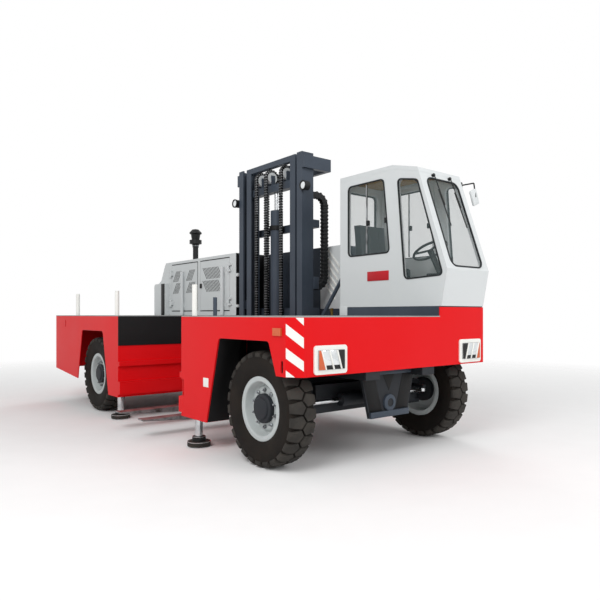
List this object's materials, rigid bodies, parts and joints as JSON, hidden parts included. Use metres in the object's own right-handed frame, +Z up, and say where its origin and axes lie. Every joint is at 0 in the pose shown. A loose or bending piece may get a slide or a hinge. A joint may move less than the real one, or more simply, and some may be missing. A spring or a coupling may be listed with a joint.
{
  "type": "side loader forklift",
  "caption": "Side loader forklift: flat deck with a transverse mast well, reach mast with forks, narrow front cab, engine hood, stabiliser jacks and big lugged tyres.",
  "frame": {"origin": "on the ground under the middle of the truck's outline", "axes": "+X forward, -Y the load side that the forks point to, +Z up"},
  "size_m": [6.435, 3.035, 3.45],
  "materials": {
    "red_paint": "gloss",
    "pale_grey_paint": "gloss",
    "slate_paint": "satin",
    "black_paint": "satin",
    "white_paint": "gloss",
    "deck_steel": "satin",
    "fork_steel": "worn",
    "chain_steel": "oiled",
    "rod_chrome": "polished",
    "cast_grey": "rough",
    "tyre": "matte",
    "clear_glass": "clear",
    "lens_clear": "clear",
    "amber_plastic": "gloss",
    "red_plastic": "gloss",
    "black_plastic": "matte",
    "seat_vinyl": "matte"
  },
  "bodies": {
    "chassis": {"air_intake": "black_plastic", "amber_lamps": "amber_plastic", "cab_base": "slate_paint", "cab_far_wall": "pale_grey_paint", "cab_front": "pale_grey_paint", "cab_glass": "clear_glass", "cab_load_wall": "pale_grey_paint", "cab_rear_wall": "pale_grey_paint", "cab_roof": "pale_grey_paint", "chassis_frame": "slate_paint", "console": "black_plastic", "deck_bars": "slate_paint", "deck_plates": "deck_steel", "engine_block": "cast_grey", "far_grille": "pale_grey_paint", "far_housing": "slate_paint", "front_axle": "slate_paint", "front_body": "red_paint", "guide_ledges": "red_paint", "headlamp_lenses": "lens_clear", "headlamp_plates": "white_paint", "hood_shell": "pale_grey_paint", "jack_sleeves": "slate_paint", "mirror": "pale_grey_paint", "rear_axle": "slate_paint", "rear_body": "red_paint", "seat": "seat_vinyl", "seat_base": "slate_paint", "side_box": "pale_grey_paint", "stakes": "white_paint", "tail_lamps": "red_plastic", "tow_plate": "slate_paint", "well_panel": "black_paint"},
    "left_knuckle": {"left_knuckle": "slate_paint"},
    "right_knuckle": {"right_knuckle": "slate_paint"},
    "steering_rod": {"steering_rod": "rod_chrome"},
    "front_left_wheel": {"front_left_tyre": "tyre", "front_left_rim": "pale_grey_paint"},
    "front_right_wheel": {"front_right_tyre": "tyre", "front_right_rim": "pale_grey_paint"},
    "rear_left_wheel": {"rear_left_tyre": "tyre", "rear_left_rim": "pale_grey_paint"},
    "rear_right_wheel": {"rear_right_tyre": "tyre", "rear_right_rim": "pale_grey_paint"},
    "outer_mast": {"outer_mast": "slate_paint", "lift_barrel": "slate_paint", "work_lamps": "black_plastic", "hose_carrier": "black_plastic"},
    "inner_mast": {"inner_mast": "slate_paint", "lift_rod": "rod_chrome", "chain_wheels": "pale_grey_paint", "lift_chains": "chain_steel"},
    "fork_carriage": {"fork_carriage": "slate_paint", "forks": "fork_steel"},
    "front_jack": {"front_jack": "rod_chrome"},
    "rear_jack": {"rear_jack": "rod_chrome"},
    "cab_door": {"cab_door": "pale_grey_paint", "cab_door_glass": "clear_glass"},
    "hood_front_door": {"hood_front_door": "pale_grey_paint"},
    "hood_rear_door": {"hood_rear_door": "pale_grey_paint"}
  },
  "joints": [
    {"name": "left_steer", "type": "hinge", "parent": "chassis", "child": "left_knuckle", "pos_m": [2.485, 0.8805, 0.525], "axis": [0, 0, 1], "range_deg": [-38, 38]},
    {"name": "right_steer", "type": "hinge", "parent": "chassis", "child": "right_knuckle", "pos_m": [2.485, -0.8805, 0.525], "axis": [0, 0, 1], "range_deg": [-38, 38]},
    {"name": "steering_slide", "type": "slide", "parent": "chassis", "child": "steering_rod", "axis": [0, 1, 0], "range_m": [-0.14, 0.14]},
    {"name": "front_left_spin", "type": "hinge", "parent": "left_knuckle", "child": "front_left_wheel", "pos_m": [2.485, 1.0905, 0.525], "axis": [0, 1, 0], "continuous": true},
    {"name": "front_right_spin", "type": "hinge", "parent": "right_knuckle", "child": "front_right_wheel", "pos_m": [2.485, -1.0905, 0.525], "axis": [0, 1, 0], "continuous": true},
    {"name": "rear_left_spin", "type": "hinge", "parent": "chassis", "child": "rear_left_wheel", "pos_m": [-1.555, 1.0905, 0.525], "axis": [0, 1, 0], "continuous": true},
    {"name": "rear_right_spin", "type": "hinge", "parent": "chassis", "child": "rear_right_wheel", "pos_m": [-1.555, -1.0905, 0.525], "axis": [0, 1, 0], "continuous": true},
    {"name": "mast_reach", "type": "slide", "parent": "chassis", "child": "outer_mast", "axis": [0, -1, 0], "range_m": [0, 1.25]},
    {"name": "mast_lift", "type": "slide", "parent": "outer_mast", "child": "inner_mast", "axis": [0, 0, 1], "range_m": [0, 1.7]},
    {"name": "carriage_lift", "type": "slide", "parent": "inner_mast", "child": "fork_carriage", "axis": [0, 0, 1], "range_m": [0, 1.7]},
    {"name": "front_jack_slide", "type": "slide", "parent": "chassis", "child": "front_jack", "axis": [0, 0, 1], "range_m": [0, 0.19]},
    {"name": "rear_jack_slide", "type": "slide", "parent": "chassis", "child": "rear_jack", "axis": [0, 0, 1], "range_m": [0, 0.19]},
    {"name": "cab_door_hinge", "type": "hinge", "parent": "chassis", "child": "cab_door", "pos_m": [2.625, 1.328, 2], "axis": [0, 0, -1], "range_deg": [0, 85]},
    {"name": "hood_front_door_hinge", "type": "hinge", "parent": "chassis", "child": "hood_front_door", "pos_m": [-0.735, 0.476, 1.8], "axis": [0, 0, 1], "range_deg": [0, 95]},
    {"name": "hood_rear_door_hinge", "type": "hinge", "parent": "chassis", "child": "hood_rear_door", "pos_m": [-2.636, 0.476, 1.8], "axis": [0, 0, -1], "range_deg": [0, 95]}
  ],
  "couplings": [
    {"joint": "right_steer", "follows": "left_steer", "ratio": 1},
    {"joint": "steering_slide", "follows": "left_steer", "m_per_rad": 0.2},
    {"joint": "carriage_lift", "follows": "mast_lift", "ratio": 1}
  ]
}
